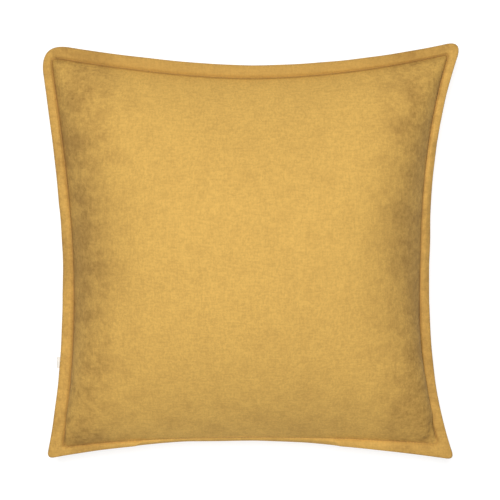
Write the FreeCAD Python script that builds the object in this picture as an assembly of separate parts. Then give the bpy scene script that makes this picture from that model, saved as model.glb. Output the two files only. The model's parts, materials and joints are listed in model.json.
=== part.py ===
"""Square throw pillow with a flat stitched border, a zip along the lower back and a plump insert.

The pillow lies on its back: +Z is out of the front face and +Y towards the top edge. The origin is
the centre of the patch it rests on. All sizes are millimetres.
"""
import FreeCAD, Part
import math
import os

# cover, filled
cover_width = 440.0        # X, corner to corner
cover_length = 440.0       # Y, corner to corner
pull_left = 22.0           # how far the filling draws the middle of each edge in
pull_right = 26.0
pull_top = 22.0
pull_bottom = 18.0
crown_front = 78.0         # front face above the seam plane
crown_back = 66.0          # back face below the seam plane, before it rests on anything
rest_squash = 4.0          # how much of the back crown is pressed flat
crown_power = 1.15         # lower is boxier
cover_wall = 1.5

# border
flange_width = 12.0
flange_thickness = 4.2
edge_lip = 1.0             # where the front and back layers meet at the outer edge
seam_allowance_thickness = 1.2
allowance_setback = 0.2    # the turned-in layer stops this far short of the filled part

# threads
thread_width = 0.6
thread_height = 0.6
topstitch_setback = 1.2    # topstitching to the foot of the filled part

# zip, set in the back beside the bottom border and following its curve
zip_length = 340.0         # slot in the back
zip_offset = 14.5          # border's inner edge to the middle of the zip
slot_half_width = 5.5
tape_reach = 11.5          # middle of the zip to the outer edge of a tape
tape_thickness = 0.6
tape_tail = 10.0           # tape that runs on under the fabric past each end of the slot
chain_half_gap = 0.55      # between the middle of the zip and each row of coil
coil_width = 2.2
coil_height = 1.8
coil_setback = 8.0         # end of the slot to the end of the coil
stop_length = 3.0
stop_gap = 0.5             # slider to a stop at each end of its run
zip_stitch_offset = 8.5
land_margin = 0.7          # flat fabric past the edge of the tape
recess_margin = 0.3

# slider and pull tab
slider_length = 11.0
slider_nose_half_width = 3.2
slider_plate = 1.2
slider_wall = 1.2
slider_clearance = 0.3
post_half_width = 0.25
post_length = 3.0
bar_radius = 0.7
bar_clearance = 0.08
lug_thickness = 1.0
lug_radius = 1.4
eye_radius = 1.6
eye_half_width = 1.8
eye_side_gap = 0.2
eye_plate_gap = 0.4
tab_length = 22.0
tab_width = 6.0
tab_thickness = 1.2
tab_neck = 3.2             # bar to the place where the tab widens
tab_hole_radius = 1.4
tab_hole_inset = 4.0

# blank care label under the left border
label_y = -118.0
label_width = 12.0
label_thickness = 0.3
label_overhang = 3.0

# insert
insert_gap = 0.5
insert_front_ease = 4.5    # its front crown stands back, because its plan stops short of the zip
casing_wall = 0.8
casing_allowance = 8.0     # turned-in seam of the casing
casing_stitch_setback = 2.0
fill_gap = 1.0

half_width = cover_width / 2
half_length = cover_length / 2
seam_z = crown_back - rest_squash
back_outer_z = seam_z - flange_thickness / 2
back_inner_z = back_outer_z + cover_wall
tape_inner_z = back_inner_z + tape_thickness
insert_inset = cover_wall + insert_gap
casing_inset = flange_width + insert_inset
zip_land = zip_offset + tape_reach + land_margin
zip_radius = (half_width - flange_width) ** 2 / (2 * pull_bottom)
zip_middle_y = -(half_length - flange_width - pull_bottom) + zip_offset
zip_centre = FreeCAD.Vector(0, zip_middle_y - zip_radius, 0)
coil_end = zip_length / 2 - coil_setback
slider_rest = coil_end - stop_gap - slider_length / 2
wall_inner = chain_half_gap + coil_width + slider_clearance
slider_half_width = wall_inner + slider_wall
top_plate_z = back_inner_z - coil_height - slider_clearance
bar_z = top_plate_z - slider_plate - eye_plate_gap - eye_radius


def even(inset):
    """The same inset on all four sides, as left, right, top, bottom."""
    return (inset, inset, inset, inset)


def with_land(inset):
    """An inset that also leaves the flat land for the zip along the bottom."""
    return (inset, inset, inset, inset + zip_land)


def plan_point(u, v, insets, z):
    """The place of u, v (each -1 to 1) on the plan, whose edges bow inwards between the corners."""
    left, right, top, bottom = insets
    y_high = half_length - top - pull_top * (1 - u * u)
    y_low = -half_length + bottom + pull_bottom * (1 - u * u)
    y = (y_high + y_low) / 2 + v * (y_high - y_low) / 2
    bow = 1 - (y / (half_length - top)) ** 2
    x_high = half_width - right - pull_right * bow
    x_low = -half_width + left + pull_left * bow
    x = (x_high + x_low) / 2 + u * (x_high - x_low) / 2
    return FreeCAD.Vector(x, y, z)


def outline(insets, z):
    """Closed wire of the four bowed edges, moved in by the insets."""
    steps = [i / 4.0 - 1 for i in range(9)]
    corners = ((0, -1, 1), (1, 1, 1), (0, 1, -1), (1, -1, -1))
    edges = []
    for axis, fixed, sign in corners:
        places = [(sign * s, fixed) if axis == 0 else (fixed, sign * s) for s in steps]
        curve = Part.BSplineCurve()
        curve.interpolate([plan_point(u, v, insets, z) for u, v in places])
        edges.append(curve.toShape())
    return Part.Wire(edges)


def plate(insets, z_low, z_high):
    """Flat plate of the plan."""
    return Part.Face(outline(insets, z_low)).extrude(FreeCAD.Vector(0, 0, z_high - z_low))


def ring(outer_inset, inner_inset, z_low, z_high, spread=even):
    """Flat band that follows the border, between two insets."""
    return plate(spread(outer_inset), z_low, z_high).cut(plate(spread(inner_inset), z_low, z_high))


def dome(insets, crown, side, floor=None):
    """Solid half of the filled shape: side 1 rises to the front, side -1 drops to the back."""
    count = 15
    angles = [math.pi * (i / (count - 1.0) - 0.5) for i in range(count)]
    rows = []
    for a in angles:
        row = []
        for b in angles:
            height = crown * abs(math.cos(a) * math.cos(b)) ** crown_power
            row.append(plan_point(math.sin(a), math.sin(b), insets, seam_z + side * height))
        rows.append(row)
    surface = Part.BSplineSurface()
    surface.interpolate(rows)
    skin = surface.toShape()
    base = Part.Face(Part.Wire(Part.__sortEdges__(skin.Edges)))
    solid = Part.Solid(Part.Shell([skin, base]))
    if solid.Volume < 0:
        solid.reverse()
    if floor is None:
        return solid
    keep = Part.makeBox(2 * cover_width, 2 * cover_length, 2 * crown_back,
                        FreeCAD.Vector(-cover_width, -cover_length, floor))
    return solid.common(keep)


def zip_point(radius, run, z):
    """A point beside the zip: radius from its far centre, run along it from the middle, +X positive."""
    angle = run / zip_radius
    return zip_centre + FreeCAD.Vector(radius * math.sin(angle), radius * math.cos(angle), z)


def zip_band(offset_low, offset_high, run_low, run_high, z_low, z_high):
    """Flat band along the zip, between two offsets from its middle line and two runs along it."""
    low, high = zip_radius + offset_low, zip_radius + offset_high
    middle = (run_low + run_high) / 2
    outer = Part.Arc(zip_point(high, run_low, z_low), zip_point(high, middle, z_low),
                     zip_point(high, run_high, z_low)).toShape()
    inner = Part.Arc(zip_point(low, run_high, z_low), zip_point(low, middle, z_low),
                     zip_point(low, run_low, z_low)).toShape()
    sides = [Part.makeLine(zip_point(high, run_high, z_low), zip_point(low, run_high, z_low)),
             Part.makeLine(zip_point(low, run_low, z_low), zip_point(high, run_low, z_low))]
    face = Part.Face(Part.Wire([outer, sides[0], inner, sides[1]]))
    return face.extrude(FreeCAD.Vector(0, 0, z_high - z_low))


def zip_side(side, near, far, run_low, run_high, z_low, z_high):
    """A band on one side of the zip's middle line: side 1 is towards the pillow's middle."""
    low, high = sorted((side * near, side * far))
    return zip_band(low, high, run_low, run_high, z_low, z_high)


def block(x_low, x_high, y_low, y_high, z_low, z_high):
    """Box between its limits."""
    return Part.makeBox(x_high - x_low, y_high - y_low, z_high - z_low,
                        FreeCAD.Vector(x_low, y_low, z_low))


def at_slider(shape):
    """Moves a shape built about the zip's middle to where the slider rests, turned along the curve."""
    shape.translate(FreeCAD.Vector(0, zip_middle_y, 0))
    shape.rotate(zip_centre, FreeCAD.Vector(0, 0, 1), -math.degrees(slider_rest / zip_radius))
    return shape


def seam_pocket():
    """Space inside the border that holds the turned-in layer and the edge seam."""
    reach = seam_allowance_thickness / 2
    return ring(edge_lip, flange_width - allowance_setback, seam_z - reach, seam_z + reach)


def front_panel():
    shell = dome(even(flange_width), crown_front, 1)
    hollow = dome(even(flange_width + cover_wall), crown_front - cover_wall, 1)
    border = ring(0, flange_width + cover_wall / 2, seam_z, seam_z + flange_thickness / 2)
    return shell.fuse(border).cut(hollow).cut(seam_pocket())


def back_whole():
    """Back of the cover before it is divided along the zip."""
    shell = dome(with_land(flange_width), crown_back, -1, 0)
    hollow = dome(with_land(flange_width + cover_wall), crown_back - cover_wall, -1, cover_wall)
    border = ring(0, flange_width + cover_wall / 2, back_inner_z, seam_z)
    land = plate(even(0), back_outer_z, back_inner_z)
    body = shell.fuse([border, land]).cut(hollow).cut(seam_pocket())
    slot_end = zip_length / 2
    slot = zip_band(-slot_half_width, slot_half_width, -slot_end, slot_end, back_outer_z, seam_z)
    tape_end = slot_end + tape_tail + recess_margin
    reach = tape_reach + recess_margin
    recess = zip_band(-reach, reach, -tape_end, tape_end, back_inner_z, seam_z)
    return body.cut(slot).cut(recess)


def below_zip():
    """Everything on the bottom-edge side of the zip's middle line."""
    return Part.makeCylinder(zip_radius, 2 * crown_back, zip_centre, FreeCAD.Vector(0, 0, 1))


def back_panel():
    return back_whole().cut(below_zip())


def back_zip_strip():
    return back_whole().common(below_zip())


def flange_seam_allowance():
    reach = seam_allowance_thickness / 2
    return ring(edge_lip + thread_width, flange_width - allowance_setback,
                seam_z - reach, seam_z + reach)


def edge_seam_thread():
    return ring(edge_lip, edge_lip + thread_width,
                seam_z - thread_height / 2, seam_z + thread_height / 2)


def topstitch(z_low, z_high):
    inner = flange_width - topstitch_setback
    return ring(inner - thread_width, inner, z_low, z_high)


def topstitch_needle_thread():
    face = seam_z + flange_thickness / 2
    return topstitch(face, face + thread_height)


def topstitch_bobbin_thread():
    return topstitch(back_outer_z - thread_height, back_outer_z).cut(care_label())


def zip_tape(side):
    end = zip_length / 2 + tape_tail
    return zip_side(side, chain_half_gap, tape_reach, -end, end, back_inner_z, tape_inner_z)


def zip_coil(side):
    return zip_side(side, chain_half_gap, chain_half_gap + coil_width, -coil_end, coil_end,
                    back_inner_z - coil_height, back_inner_z)


def zip_stitching(side):
    end = zip_length / 2 + tape_tail
    near = zip_stitch_offset
    return zip_side(side, near, near + thread_width, -end, end,
                    back_outer_z - thread_height, back_outer_z)


def zip_top_stops():
    """One small block at the end of each row of coil."""
    return Part.makeCompound([
        zip_side(side, chain_half_gap, chain_half_gap + coil_width, coil_end, coil_end + stop_length,
                 back_inner_z - coil_height, back_inner_z)
        for side in (-1, 1)])


def zip_bottom_stop():
    """One block across both rows at the other end."""
    reach = chain_half_gap + coil_width
    return zip_band(-reach, reach, -coil_end - stop_length, -coil_end,
                    back_inner_z - coil_height, back_inner_z)


def slider_plate_shape(z_low):
    """Plate seen from outside: square at the back, drawn in to a narrower nose."""
    tail, nose = -slider_length / 2, slider_length / 2
    shoulder = 0.1 * slider_length
    corners = [(tail, -slider_half_width), (shoulder, -slider_half_width),
               (nose, -slider_nose_half_width), (nose, slider_nose_half_width),
               (shoulder, slider_half_width), (tail, slider_half_width)]
    points = [FreeCAD.Vector(x, y, z_low) for x, y in corners]
    face = Part.Face(Part.makePolygon(points + [points[0]]))
    return face.extrude(FreeCAD.Vector(0, 0, slider_plate))


def zip_slider():
    outer = slider_plate_shape(top_plate_z - slider_plate)
    inner = slider_plate_shape(tape_inner_z + slider_clearance)
    post = block(-slider_length / 2, -slider_length / 2 + post_length, -post_half_width, post_half_width,
                 top_plate_z, tape_inner_z + slider_clearance)
    body = outer.fuse([inner, post])
    wall_top = back_inner_z - slider_clearance
    for side in (-1, 1):
        near, far = sorted((side * wall_inner, side * slider_half_width))
        body = body.fuse(block(-slider_length / 2, 0.1 * slider_length, near, far,
                               top_plate_z - slider_plate, wall_top))
    lug_inner = eye_half_width + eye_side_gap
    for side in (-1, 1):
        near, far = sorted((side * lug_inner, side * (lug_inner + lug_thickness)))
        base = block(-lug_radius, lug_radius, near, far, bar_z, top_plate_z - slider_plate)
        end = Part.makeCylinder(lug_radius, lug_thickness, FreeCAD.Vector(0, near, bar_z),
                                FreeCAD.Vector(0, 1, 0))
        body = body.fuse([base, end])
    bar = Part.makeCylinder(bar_radius, 2 * lug_inner, FreeCAD.Vector(0, -lug_inner, bar_z),
                            FreeCAD.Vector(0, 1, 0))
    return at_slider(body.fuse(bar).removeSplitter())


def zip_pull_tab():
    """Hangs straight down from the slider's bar."""
    across = FreeCAD.Vector(0, 1, 0)
    eye = Part.makeCylinder(eye_radius, 2 * eye_half_width,
                            FreeCAD.Vector(0, -eye_half_width, bar_z), across)
    half = tab_thickness / 2
    neck = block(-half, half, -eye_half_width, eye_half_width, bar_z - tab_neck - 1, bar_z)
    low = bar_z - tab_length
    blade = block(-half, half, -tab_width / 2, tab_width / 2, low + tab_width / 2, bar_z - tab_neck)
    along = FreeCAD.Vector(1, 0, 0)
    tip = Part.makeCylinder(tab_width / 2, tab_thickness,
                            FreeCAD.Vector(-half, 0, low + tab_width / 2), along)
    hole = Part.makeCylinder(tab_hole_radius, tab_thickness,
                             FreeCAD.Vector(-half, 0, low + tab_hole_inset), along)
    bore = Part.makeCylinder(bar_radius + bar_clearance, 2 * eye_half_width,
                             FreeCAD.Vector(0, -eye_half_width, bar_z), across)
    return at_slider(eye.fuse([neck, blade, tip]).cut(hole).cut(bore).removeSplitter())


def care_label():
    """Small blank tab under the left border, its inner end held by the topstitching."""
    v = label_y / half_length
    edge = -half_width + pull_left * (1 - v * v)
    inner_end = edge + flange_width - topstitch_setback - thread_width / 2
    return block(edge - label_overhang, inner_end,
                 label_y - label_width / 2, label_y + label_width / 2,
                 back_outer_z - label_thickness, back_outer_z)


def casing_half(side, crown, floor=None):
    """Shell of one half of the insert, with its turned-in seam lying flat inside."""
    hollow_floor = None if floor is None else floor + casing_wall
    outer = dome(with_land(casing_inset), crown, side, floor)
    inner = dome(with_land(casing_inset + casing_wall), crown - casing_wall, side, hollow_floor)
    low, high = sorted((seam_z, seam_z + side * casing_wall))
    turned = ring(casing_inset + casing_wall / 2, casing_inset + casing_allowance, low, high, with_land)
    return outer.cut(inner).fuse(turned.common(outer)).cut(insert_seam_thread())


def insert_casing_front():
    return casing_half(1, crown_front - insert_inset - insert_front_ease)


def insert_casing_back():
    return casing_half(-1, crown_back - insert_inset, insert_inset)


def insert_seam_thread():
    """Thread that holds the casing's two turned-in layers together."""
    outer = casing_inset + casing_stitch_setback
    return ring(outer, outer + thread_width, seam_z - thread_height / 2, seam_z + thread_height / 2,
                with_land)


def fibre_fill():
    """Filling, grooved round its edge where the casing's turned-in seam lies."""
    gap = casing_wall + fill_gap
    insets = with_land(casing_inset + gap)
    front = dome(insets, crown_front - insert_inset - insert_front_ease - gap, 1)
    back = dome(insets, crown_back - insert_inset - gap, -1, insert_inset + gap)
    groove = ring(flange_width, casing_inset + casing_allowance + fill_gap,
                  seam_z - gap, seam_z + gap, with_land)
    return front.cut(groove).fuse(back.cut(groove)).removeSplitter()


NODES = {
    "front_panel": front_panel,
    "back_panel": back_panel,
    "back_zip_strip": back_zip_strip,
    "flange_seam_allowance": flange_seam_allowance,
    "edge_seam_thread": edge_seam_thread,
    "topstitch_needle_thread": topstitch_needle_thread,
    "topstitch_bobbin_thread": topstitch_bobbin_thread,
    "zip_tape_upper": lambda: zip_tape(1),
    "zip_tape_lower": lambda: zip_tape(-1),
    "zip_coil_upper": lambda: zip_coil(1),
    "zip_coil_lower": lambda: zip_coil(-1),
    "zip_stitching_upper": lambda: zip_stitching(1),
    "zip_stitching_lower": lambda: zip_stitching(-1),
    "zip_top_stops": zip_top_stops,
    "zip_bottom_stop": zip_bottom_stop,
    "zip_slider": zip_slider,
    "zip_pull_tab": zip_pull_tab,
    "care_label": care_label,
    "insert_casing_front": insert_casing_front,
    "insert_casing_back": insert_casing_back,
    "insert_seam_thread": insert_seam_thread,
    "fibre_fill": fibre_fill,
}

os.makedirs("parts", exist_ok=True)
for name, make in NODES.items():
    shape = make()
    shape.exportStep("parts/" + name + ".step")
    print(name, "solids", len(shape.Solids), "valid", shape.isValid(), "cm3", round(shape.Volume / 1000, 2))
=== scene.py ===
"""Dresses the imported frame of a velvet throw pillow: filled cover, stitched border, zip and insert.

The pillow lies on its back. X runs along its width, +Y to its top edge and +Z out of its front face.
Everything is in metres. The outline of the border and of its stitch line are four bowed sides each;
the cover is two sheets of cloth that are pinned along the stitch line and blown up by the filling.
"""

import json
import math
from collections import namedtuple
from functools import lru_cache

import bmesh
import bpy
import numpy as np
from bpy.props import FloatProperty, FloatVectorProperty, IntProperty, PointerProperty
from mathutils import Matrix, Vector
from mathutils.bvhtree import BVHTree


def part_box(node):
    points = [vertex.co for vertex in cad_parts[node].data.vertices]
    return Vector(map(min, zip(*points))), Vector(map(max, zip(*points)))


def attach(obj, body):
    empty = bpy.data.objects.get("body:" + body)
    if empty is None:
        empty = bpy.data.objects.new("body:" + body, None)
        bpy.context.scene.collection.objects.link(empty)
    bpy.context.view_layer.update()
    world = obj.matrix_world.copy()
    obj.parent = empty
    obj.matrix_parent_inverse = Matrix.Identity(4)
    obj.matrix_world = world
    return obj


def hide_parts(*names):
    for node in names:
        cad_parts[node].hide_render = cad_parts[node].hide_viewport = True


bl_info = {
    "name": "Velvet Throw Pillow",
    "version": (1, 0, 0),
    "blender": (4, 5, 0),
    "location": "View3D > Sidebar > Pillow",
    "description": "Builds a filled, zipped velvet cover with a stitched border round its CAD frame",
    "category": "Add Mesh",
}

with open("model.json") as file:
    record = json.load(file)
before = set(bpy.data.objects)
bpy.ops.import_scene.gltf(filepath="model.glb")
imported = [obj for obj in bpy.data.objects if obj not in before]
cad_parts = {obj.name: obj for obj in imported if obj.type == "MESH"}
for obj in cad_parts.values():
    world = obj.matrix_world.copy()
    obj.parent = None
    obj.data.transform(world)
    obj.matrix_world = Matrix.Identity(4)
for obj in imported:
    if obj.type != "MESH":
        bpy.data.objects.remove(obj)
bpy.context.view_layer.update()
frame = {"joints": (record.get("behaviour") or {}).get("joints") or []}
joints = {joint["name"]: joint for joint in frame["joints"]}


def span(node, axis):
    """Lowest and highest place of a CAD node along an axis."""
    low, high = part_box(node)
    return low[axis], high[axis]


MM = 0.001
SEAM_Z = sum(span("flange_seam_allowance", 2)) / 2
ZIP_CENTRE = Vector(joints["zip_travel"]["pos_m"])
TAB_BAR = Vector(joints["pull_tab_swing"]["pos_m"])
ZIP_RADIUS = math.hypot(TAB_BAR.x - ZIP_CENTRE.x, TAB_BAR.y - ZIP_CENTRE.y)
SLIDER_ANGLE = math.atan2(TAB_BAR.x - ZIP_CENTRE.x, TAB_BAR.y - ZIP_CENTRE.y)
TAPE_LOW, TAPE_HIGH = span("zip_tape_upper", 2)
COIL_LOW, COIL_HIGH = span("zip_coil_upper", 2)
COIL_RUN = (span("zip_coil_upper", 0)[1] - span("zip_coil_upper", 0)[0]) / 2
TAPE_RUN = (span("zip_tape_upper", 0)[1] - span("zip_tape_upper", 0)[0]) / 2
BACK_FACE_Z = span("zip_stitching_upper", 2)[1]
SLOT_HALF = 5.5 * MM
FOLD = 0.75 * MM
ZIP_STITCH_OFFSET = 8.8 * MM
CHAIN_HALF_GAP = 0.55 * MM
COIL_WIDTH = 2.2 * MM
TAPE_REACH = 11.5 * MM
SEAM_STEP = 0.8 * MM     # the panels' edges from the middle of the border
FRONT_SWELL = 0.075
BACK_SWELL = 0.064
HEM_DEPTH = 7 * MM
SIDE_LENGTH = 0.42

# Each side of an outline runs to the next corner, anticlockwise from the bottom left, and is drawn
# in by its pull. A lower power draws it to a point in the middle, a higher one keeps it flat there.
Outline = namedtuple("Outline", "corners rounds pulls powers")
OUTER = Outline(
    corners=((-0.2172, -0.2215), (0.2188, -0.2225), (0.2225, 0.2228), (-0.2205, 0.2205)),
    rounds=(0.008, 0.009, 0.018, 0.032),
    pulls=(0.0195, 0.0308, 0.0250, 0.0208),
    powers=((2.2, 1.6), (2.7, 2.6), (2.0, 1.55), (1.45, 2.3)),
)
STITCH = Outline(
    corners=((-0.1995, -0.2085), (0.2010, -0.2050), (0.2070, 0.2085), (-0.2080, 0.2050)),
    rounds=(0.006, 0.006, 0.005, 0.009),
    pulls=(0.0095, 0.0242, 0.0240, 0.0172),
    powers=((2.4, 1.8), (3.2, 2.4), (2.0, 1.6), (1.5, 2.3)),
)


class PillowSizes(bpy.types.PropertyGroup):
    """Sizes that change how full and how crisp the pillow looks."""

    front_cut: FloatProperty(name="Front cut", default=0.423, unit="LENGTH",
                             description="Side of the flat front panel between its stitch lines")
    back_cut: FloatProperty(name="Back cut", default=0.413, unit="LENGTH",
                            description="Width of the flat back panel between its stitch lines")
    filling: FloatProperty(name="Filling", description="Pressure of the filling on the cloth", default=200.0)
    border: FloatProperty(name="Border width", description="Width of the border, laid flat",
                          default=0.0122, unit="LENGTH")
    puff: FloatProperty(name="Border puff", default=0.0031, unit="LENGTH",
                        description="Half the thickness of the border where it is thickest")
    pitch: FloatProperty(name="Stitch pitch", description="Length of one stitch and its gap",
                         default=0.0033, unit="LENGTH")
    cells: IntProperty(name="Cloth cells", description="Cells along each side of a cloth sheet", default=88)


class PillowColours(bpy.types.PropertyGroup):
    """Colours of the fabrics and the zip."""

    pile: FloatVectorProperty(name="Pile", description="Velvet where the nap lies smooth", subtype="COLOR",
                              default=(0.600, 0.362, 0.088))
    # this colour is the nap where it is pressed flat and also the painted shade towards the sides and bottom;
    # the painted seam shade is drawn from it
    crushed_nap_and_painted_shade: FloatVectorProperty(name="Crushed pile", description="Velvet where the nap is ruffled",
                                 subtype="COLOR", default=(0.36, 0.205, 0.052))
    thread: FloatVectorProperty(name="Thread", description="Sewing thread", subtype="COLOR",
                                default=(0.42, 0.215, 0.045))
    tape: FloatVectorProperty(name="Zip tape", description="Woven tape of the zip", subtype="COLOR",
                              default=(0.47, 0.27, 0.065))
    metal: FloatVectorProperty(name="Zip metal", description="Slider, tab and stops", subtype="COLOR",
                               default=(0.60, 0.44, 0.20))


def sizes():
    return bpy.context.scene.pillow_sizes


def colours():
    return bpy.context.scene.pillow_colours


# ---------------------------------------------------------------- outlines

def side_point(loop, side, s):
    """Point at s (0 to 1) along a bowed side of an outline, corners not yet rounded."""
    start = Vector(loop.corners[side])
    end = Vector(loop.corners[(side + 1) % 4])
    inward = (end - start).orthogonal().normalized()
    bow = 1 - abs(2 * s - 1) ** loop.powers[side][s > 0.5]
    return start.lerp(end, s) + inward * loop.pulls[side] * bow


@lru_cache(maxsize=200000)
def loop_point(loop, t):
    """Point at t (0 to 4, one unit a side) round an outline, with its corners rounded."""
    t = t % 4
    side = int(t)
    s = t - side
    start_share = loop.rounds[side] / SIDE_LENGTH
    end_share = loop.rounds[(side + 1) % 4] / SIDE_LENGTH
    if s < start_share:
        before = side_point(loop, (side - 1) % 4, 1 - start_share)
        after = side_point(loop, side, start_share)
        corner = Vector(loop.corners[side])
        q = 0.5 + 0.5 * s / start_share
    elif s > 1 - end_share:
        before = side_point(loop, side, 1 - end_share)
        after = side_point(loop, (side + 1) % 4, end_share)
        corner = Vector(loop.corners[(side + 1) % 4])
        q = 0.5 * (s - 1 + end_share) / end_share
    else:
        return side_point(loop, side, s)
    return before * (1 - q) ** 2 + corner * 2 * q * (1 - q) + after * q * q


def patch(loop, s, t):
    """Plan of a four-sided sheet whose edges are the outline: s to the right, t to the top."""
    low, high = loop_point(loop, s), loop_point(loop, 3 - s)
    left, right = loop_point(loop, 4 - t), loop_point(loop, 1 + t)
    c00, c10, c11, c01 = (loop_point(loop, k) for k in range(4))
    flat = (c00 * (1 - s) + c10 * s) * (1 - t) + (c01 * (1 - s) + c11 * s) * t
    return low * (1 - t) + high * t + left * (1 - s) + right * s - flat


def zip_place(offset, run, z):
    """Point beside the zip: offset towards the pillow's middle, run along the zip from its middle."""
    angle = run / ZIP_RADIUS
    radius = ZIP_RADIUS + offset
    return Vector((ZIP_CENTRE.x + radius * math.sin(angle), ZIP_CENTRE.y + radius * math.cos(angle), z))


def ripple(seed, waves, low, high):
    """A smooth wave round an outline, -1 to 1, made of whole waves between two counts."""
    rng = np.random.default_rng(seed)
    counts = rng.integers(low, high, waves)
    phases = rng.uniform(0, 2 * math.pi, waves)
    weights = rng.uniform(0.5, 1.0, waves)
    weights /= weights.sum()

    def at(t):
        t = np.asarray(t, float)[..., None]
        return (weights * np.sin(2 * math.pi * counts * t / 4 + phases)).sum(-1)

    return at


def squared(value, power):
    """Sine or cosine pulled towards -1 and 1, which squares off a round section."""
    return math.copysign(abs(value) ** power, value)


def smooth_step(x, low, high):
    x = np.clip((x - low) / (high - low), 0, 1)
    return x * x * (3 - 2 * x)


# ---------------------------------------------------------------- meshes

def mapped_grid(name, columns, rows, place, closed_x=False, closed_y=False):
    """A grid whose a, b (each 0 to 1) are put where place(a, b) says, kept as attributes and a UV map."""
    bm = bmesh.new()
    bmesh.ops.create_grid(bm, x_segments=columns, y_segments=rows, size=0.5)
    reach = max(v.co.x for v in bm.verts)
    along = bm.verts.layers.float.new("along")
    across = bm.verts.layers.float.new("across")
    for v in bm.verts:
        v[along] = v.co.x / (2 * reach) + 0.5
        v[across] = v.co.y / (2 * reach) + 0.5
    cloth_map = bm.loops.layers.uv.new("cloth")
    for face in bm.faces:
        for corner in face.loops:
            corner[cloth_map].uv = (corner.vert[along], corner.vert[across])
    for v in bm.verts:
        v.co = place(v[along], v[across])
    if closed_x or closed_y:
        bmesh.ops.remove_doubles(bm, verts=bm.verts, dist=1e-6)
        bmesh.ops.recalc_face_normals(bm, faces=bm.faces)
    return finish_mesh(name, bm)


def finish_mesh(name, bm, smooth=True):
    """Object in the scene from a bmesh, which is freed."""
    mesh = bpy.data.meshes.new(name)
    bm.to_mesh(mesh)
    bm.free()
    for polygon in mesh.polygons:
        polygon.use_smooth = smooth
    piece = bpy.data.objects.new(name, mesh)
    bpy.context.scene.collection.objects.link(piece)
    return piece


def points_of(mesh):
    co = np.zeros(len(mesh.vertices) * 3, np.float32)
    mesh.vertices.foreach_get("co", co)
    return co.reshape(-1, 3).astype(float)


def put_points(mesh, co):
    mesh.vertices.foreach_set("co", np.asarray(co, np.float32).ravel())
    mesh.update()


def attribute(mesh, name):
    values = np.zeros(len(mesh.vertices), np.float32)
    mesh.attributes[name].data.foreach_get("value", values)
    return values.astype(float)


def normals_of(mesh):
    values = np.zeros(len(mesh.vertices) * 3, np.float32)
    mesh.vertex_normals.foreach_get("vector", values)
    return values.reshape(-1, 3).astype(float)


def bake_modifiers(piece):
    """Replaces a piece's mesh with what its modifiers make of it."""
    graph = bpy.context.evaluated_depsgraph_get()
    mesh = bpy.data.meshes.new_from_object(piece.evaluated_get(graph), depsgraph=graph)
    piece.modifiers.clear()
    old = piece.data
    piece.data = mesh
    bpy.data.meshes.remove(old)
    piece.vertex_groups.clear()


def bevel(bm, edges, offset, segments):
    return bmesh.ops.bevel(bm, geom=list(edges), offset=offset, offset_type="OFFSET", affect="EDGES",
                           segments=segments, profile=0.5, material=-1, clamp_overlap=True)


def add_box(bm, low, high, rounding=0.0, segments=2):
    """Box between two corners, its edges rounded."""
    low, high = Vector(low), Vector(high)
    size = high - low
    matrix = Matrix.Translation((low + high) / 2) @ Matrix.Diagonal((*size, 1))
    made = bmesh.ops.create_cube(bm, size=1, matrix=matrix)["verts"]
    if rounding:
        bevel(bm, {edge for v in made for edge in v.link_edges}, rounding, segments)


def add_rod(bm, middle, axis, radius, length, sides=24):
    """Cylinder about an axis."""
    turn = Vector((0, 0, 1)).rotation_difference(Vector(axis)).to_matrix().to_4x4()
    bmesh.ops.create_cone(bm, cap_ends=True, segments=sides, radius1=radius, radius2=radius, depth=length,
                          matrix=Matrix.Translation(middle) @ turn)


def dress(piece, body, slot, material, *nodes):
    """Gives a piece its material and body, and hides the CAD nodes that it stands for; the slot is not used.
    """
    piece.data.materials.clear()
    piece.data.materials.append(material)
    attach(piece, body)
    if nodes:
        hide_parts(*nodes)
    return piece


# ---------------------------------------------------------------- cloth

SEW_FRAMES = 12
FILL_FRAMES = 24
HEM_ROWS = 6
CLOTH = {
    "quality": 6, "mass": 0.004, "air_damping": 2, "bending_damping": 1,
    "tension_stiffness": 40, "compression_stiffness": 0.5, "shear_stiffness": 0.5, "bending_stiffness": 1,
    "tension_damping": 5, "compression_damping": 5, "shear_damping": 5,
}


def blow_up(piece, sewn, held):
    """Sews the held points of a flat sheet to their places while the filling blows it up."""
    piece.shape_key_add(name="flat")
    key = piece.shape_key_add(name="sewn")
    key.data.foreach_set("co", np.asarray(sewn, np.float32).ravel())
    key.value = 0
    key.keyframe_insert("value", frame=1)
    key.value = 1
    key.keyframe_insert("value", frame=1 + SEW_FRAMES)
    group = piece.vertex_groups.new(name="held")
    group.add([int(i) for i in np.nonzero(held)[0]], 1.0, "REPLACE")
    modifier = piece.modifiers.new("filling", "CLOTH")
    cloth = modifier.settings
    for name, value in CLOTH.items():
        setattr(cloth, name, value)
    cloth.vertex_group_mass = "held"
    cloth.use_pressure = True
    cloth.uniform_pressure_force = sizes().filling
    cloth.effector_weights.gravity = 0
    modifier.collision_settings.use_self_collision = False
    modifier.collision_settings.use_collision = False
    modifier.point_cache.frame_start = 1
    modifier.point_cache.frame_end = FILL_FRAMES
    for step in range(1, FILL_FRAMES + 1):
        bpy.context.scene.frame_set(step)
    bake_modifiers(piece)


def refine(piece):
    """One subdivision, kept in the mesh."""
    modifier = piece.modifiers.new("fine", "SUBSURF")
    modifier.levels = 1
    modifier.render_levels = 1
    bake_modifiers(piece)


def seam_puckers(s, t, cut, seed, depth):
    """Small gathers that die away from each edge of a sheet."""
    fine, broad = ripple(seed, 14, 110, 210), ripple(seed + 1, 10, 30, 80)
    push = np.zeros(len(s))
    for place, gap in ((s, t), (1 + t, 1 - s), (3 - s, 1 - t), (4 - t, s)):
        reach = gap * cut
        rise = 1 - np.exp(-reach / (1.5 * MM))
        push += rise * (np.exp(-reach / (7 * MM)) * fine(place) * 0.9
                        + np.exp(-reach / (20 * MM)) * broad(place) * 1.3)
    return push * depth


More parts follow.
